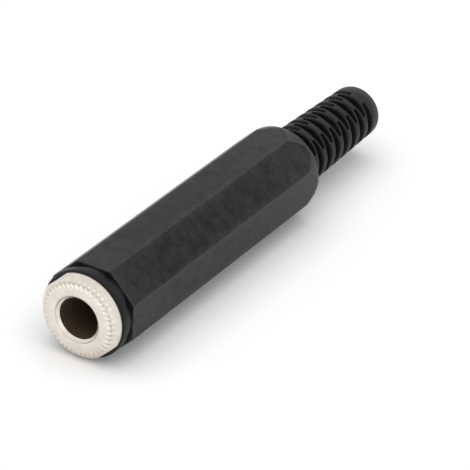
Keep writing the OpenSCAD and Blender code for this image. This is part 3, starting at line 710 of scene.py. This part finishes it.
def octagon(flat, corner):
    """Angles and radii round an octagon with rounded corners, its flats at the top and the sides."""
    half = math.pi / SIDES
    bend_start = math.atan((flat - corner) * math.tan(half) / flat)
    one_side = np.concatenate([np.linspace(-bend_start, bend_start, CORNER_COLUMNS),
                               np.linspace(bend_start, 2 * half - bend_start, CORNER_COLUMNS)[1:-1]])
    angle = np.concatenate([one_side + 2 * half * side for side in range(SIDES)])
    off = np.abs((angle + half) % (2 * half) - half)
    bend_centre = (flat - corner) / math.cos(half)
    from_corner = half - off
    bent = bend_centre * np.cos(from_corner) + np.sqrt(
        np.maximum(corner ** 2 - (bend_centre * np.sin(from_corner)) ** 2, 0))
    return angle, np.where(off > bend_start, bent, flat / np.cos(off))


# Satin black ABS from a spark-eroded mould: dull and mottled, and paler along its edges, for rubbed wear and
# a painted edge highlight.
# The mould's grain is about 0.05 mm, and four times that here so that it shows.
blotch_size, speck_size, spark_size, spark_depth = 1.8 * MM, 0.35 * MM, 0.2 * MM, 0.02 * MM
satin_abs, tree, shader, place = new_material("satin_black_abs")
blotch = add(tree, "ShaderNodeTexNoise", {"Vector": place, "Scale": 1 / blotch_size, "Detail": 5,
                                         "Roughness": 0.6})
speck = add(tree, "ShaderNodeTexNoise", {"Vector": place, "Scale": 1 / speck_size, "Detail": 3})
faint = add(tree, "ShaderNodeMath", {0: speck.outputs["Fac"], 1: 0.35}, operation="MULTIPLY")
mottle = add(tree, "ShaderNodeMath", {0: blotch.outputs["Fac"], 1: faint.outputs[0]}, operation="ADD")
tone = add(tree, "ShaderNodeValToRGB", {"Fac": mottle.outputs[0]}, ((0.5, "#040404"), (0.85, "#121111")))
# Eased edges and corners are mixed towards a paler grey: rubbed wear and a painted edge highlight.
wear_and_highlight = add(tree, "ShaderNodeAttribute", attribute_name="wear_and_highlight")
wear_and_highlight_mask = add(tree, "ShaderNodeMath", {0: wear_and_highlight.outputs["Fac"], 1: speck.outputs["Fac"]}, operation="MULTIPLY")
worn_and_highlit = add(tree, "ShaderNodeMix", {0: wear_and_highlight_mask.outputs[0], 6: tone.outputs["Color"], 7: colour("#4a4949")},
             data_type="RGBA")
tree.links.new(worn_and_highlit.outputs[2], shader.inputs["Base Color"])
satin = add(tree, "ShaderNodeMapRange", {"Value": mottle.outputs[0], "From Min": 0.4, "From Max": 0.9,
                                         "To Min": 0.32, "To Max": 0.46})
tree.links.new(satin.outputs["Result"], shader.inputs["Roughness"])
spark = add(tree, "ShaderNodeTexNoise", {"Vector": place, "Scale": 1 / spark_size, "Detail": 2})
eroded = add(tree, "ShaderNodeBump", {"Height": spark.outputs["Fac"], "Strength": 0.25,
                                      "Distance": spark_depth})
tree.links.new(eroded.outputs["Normal"], shader.inputs["Normal"])
sheen = add(tree, "ShaderNodeMapRange", {"Value": mottle.outputs[0], "From Min": 0.45, "From Max": 0.9,
                                         "To Min": 0.14, "To Max": 0.3})
tree.links.new(sheen.outputs["Result"], shader.inputs["Specular IOR Level"])
shader.inputs["IOR"].default_value = 1.52

angle, out = octagon(FLAT, CORNER_EASE)
chamfer_slope = (FLAT / math.cos(math.pi / SIDES) - REAR_EDGE) / CHAMFER_LENGTH
chamfer_start = REAR - (out - REAR_EDGE) / chamfer_slope
radius, along, wear_and_highlight = section(
    (COVER_MOUTH, COLLAR_END, 0.15), (out, COLLAR_END, 0.2), *[(out, row, 0) for row in LONG_ROWS],
    (out, chamfer_start, 0.2), (REAR_EDGE, REAR, 0.28), (BOOT_HOLE, REAR, 0.1), (BOOT_HOLE, REAR_WALL, 0),
    (CAVITY, REAR_WALL, 0), (CAVITY, MOUTH_END, 0), (COVER_MOUTH, MOUTH_END, 0))
# The rounded long corners take the paler edge colour too: rubbed wear and a painted edge highlight.
corner_wear_and_highlight = np.where(out > FLAT / math.cos(CORNER_TURN), CORNER_WEAR_AND_HIGHLIGHT, 0)
cover = skin("housing", (radius, along, np.maximum(wear_and_highlight, corner_wear_and_highlight)), angle)
piece("cover", [cover], satin_abs, "cover", ["housing"])

mouth_thread = grown(bpy.data.meshes.new("mouth_thread"), screw, Radius=MOUTH_THREAD * MM,
                     Height=MOUTH_THREAD_HEIGHT * MM, Outward=-1.0, Phase=math.pi, Finish=satin_abs, **thread)
piece("cover_thread", [mouth_thread], satin_abs, "cover")


# Floor, light and camera
# A white table in a light tent, with a wide softbox overhead.
# A long low card stands in front, and the knurl shows it.

FLOOR_REACH, TABLE_GLOW, TENT_LIGHT, TENT_SEEN = 3, 0.11, 0.52, 1.0
WHITE = colour("#ffffff")
SOFTBOX_SIZE, SOFTBOX_POWER, SOFTBOX_PLACE, SOFTBOX_AIM = 1.4, 5.9, (0, 0, 0.8), (0, 0.03, 0)
CARD_WIDTH, CARD_HEIGHT, CARD_POWER, CARD_PLACE, CARD_AIM = 1.8, 0.24, 2.2, (-0.1, -0.95, 0.1), (0, 0, 0)


def seen(tree):
    """Whether a ray comes from the camera, straight or by way of a shiny or clear surface."""
    rays = add(tree, "ShaderNodeLightPath")
    by_way = add(tree, "ShaderNodeMath", {0: rays.outputs["Is Glossy Ray"],
                                         1: rays.outputs["Is Transmission Ray"]}, operation="MAXIMUM")
    either = add(tree, "ShaderNodeMath", {0: rays.outputs["Is Camera Ray"], 1: by_way.outputs[0]},
                 operation="MAXIMUM")
    return either.outputs[0]


floor_corners = [(x * FLOOR_REACH, y * FLOOR_REACH, -FLAT * MM)
                 for x, y in ((-1, -1), (1, -1), (1, 1), (-1, 1))]
floor_mesh = bpy.data.meshes.new("floor")
floor_mesh.from_pydata(floor_corners, [], [(0, 1, 2, 3)])
floor = bpy.data.objects.new("floor", floor_mesh)
bpy.context.scene.collection.objects.link(floor)

# White laminate: a matt table top that glows a little, so that it is white where no shadow falls.
table, tree, shader = new_material("white_table")[:3]
shader.inputs["Base Color"].default_value = colour("#f3f3f3")
shader.inputs["Roughness"].default_value = 0.9
shader.inputs["Specular IOR Level"].default_value = 0.0
shader.inputs["Emission Color"].default_value = WHITE
glow = add(tree, "ShaderNodeMath", {0: seen(tree), 1: TABLE_GLOW}, operation="MULTIPLY")
tree.links.new(glow.outputs[0], shader.inputs["Emission Strength"])
floor_mesh.materials.append(table)

world = bpy.data.worlds.new("studio")
bpy.context.scene.world = world
world.use_nodes = True
tree = world.node_tree
tent = add(tree, "ShaderNodeMix", {0: seen(tree), 2: TENT_LIGHT, 3: TENT_SEEN}, data_type="FLOAT")
tree.links.new(tent.outputs[0], tree.nodes["Background"].inputs["Strength"])
tree.nodes["Background"].inputs["Color"].default_value = WHITE


def hung(light, place, aim):
    """The lamp as an object at a place, turned towards a point, in metres."""
    lamp = bpy.data.objects.new(light.name, light)
    lamp.location = place
    lamp.rotation_euler = (Vector(aim) - lamp.location).to_track_quat("-Z", "Y").to_euler()
    bpy.context.scene.collection.objects.link(lamp)
    return lamp


softbox = bpy.data.lights.new("softbox", "AREA")
softbox.shape, softbox.size, softbox.energy = "DISK", SOFTBOX_SIZE, SOFTBOX_POWER
hung(softbox, SOFTBOX_PLACE, SOFTBOX_AIM).visible_glossy = False
card = bpy.data.lights.new("front_card", "AREA")
card.shape, card.size, card.size_y, card.energy = "RECTANGLE", CARD_WIDTH, CARD_HEIGHT, CARD_POWER
hung(card, CARD_PLACE, CARD_AIM)

# The camera's place was fitted to the edges of the object in the photograph, 470 pixels square
AZIMUTH, ELEVATION, ROLL = [math.radians(a) for a in (29.87, 29.82, 3.47)]
FOCAL_PIXELS, FRAME_PIXELS, DEPTH, SENSOR = 3218.0, 470, 452.2, 36
ORIGIN_PIXEL = (76.6, 320.0)
back = Vector((math.sin(AZIMUTH) * math.cos(ELEVATION), -math.cos(AZIMUTH) * math.cos(ELEVATION),
               math.sin(ELEVATION)))
level = Vector((math.cos(AZIMUTH), math.sin(AZIMUTH), 0))
tilted = math.cos(ROLL) * level + math.sin(ROLL) * back.cross(level)
upward = back.cross(tilted)
aside = (ORIGIN_PIXEL[0] - FRAME_PIXELS / 2) * DEPTH / FOCAL_PIXELS
above = (FRAME_PIXELS / 2 - ORIGIN_PIXEL[1]) * DEPTH / FOCAL_PIXELS
lens = bpy.data.cameras.new("camera")
lens.sensor_width = SENSOR
lens.lens = FOCAL_PIXELS / FRAME_PIXELS * lens.sensor_width
camera = bpy.data.objects.new("camera", lens)
bpy.context.scene.collection.objects.link(camera)
camera.matrix_world = Matrix.Translation((back * DEPTH - tilted * aside - upward * above) * MM) @ Matrix(
    (tilted, upward, back)).transposed().to_4x4()
bpy.context.scene.camera = camera
bpy.context.scene.view_settings.view_transform = "Standard"
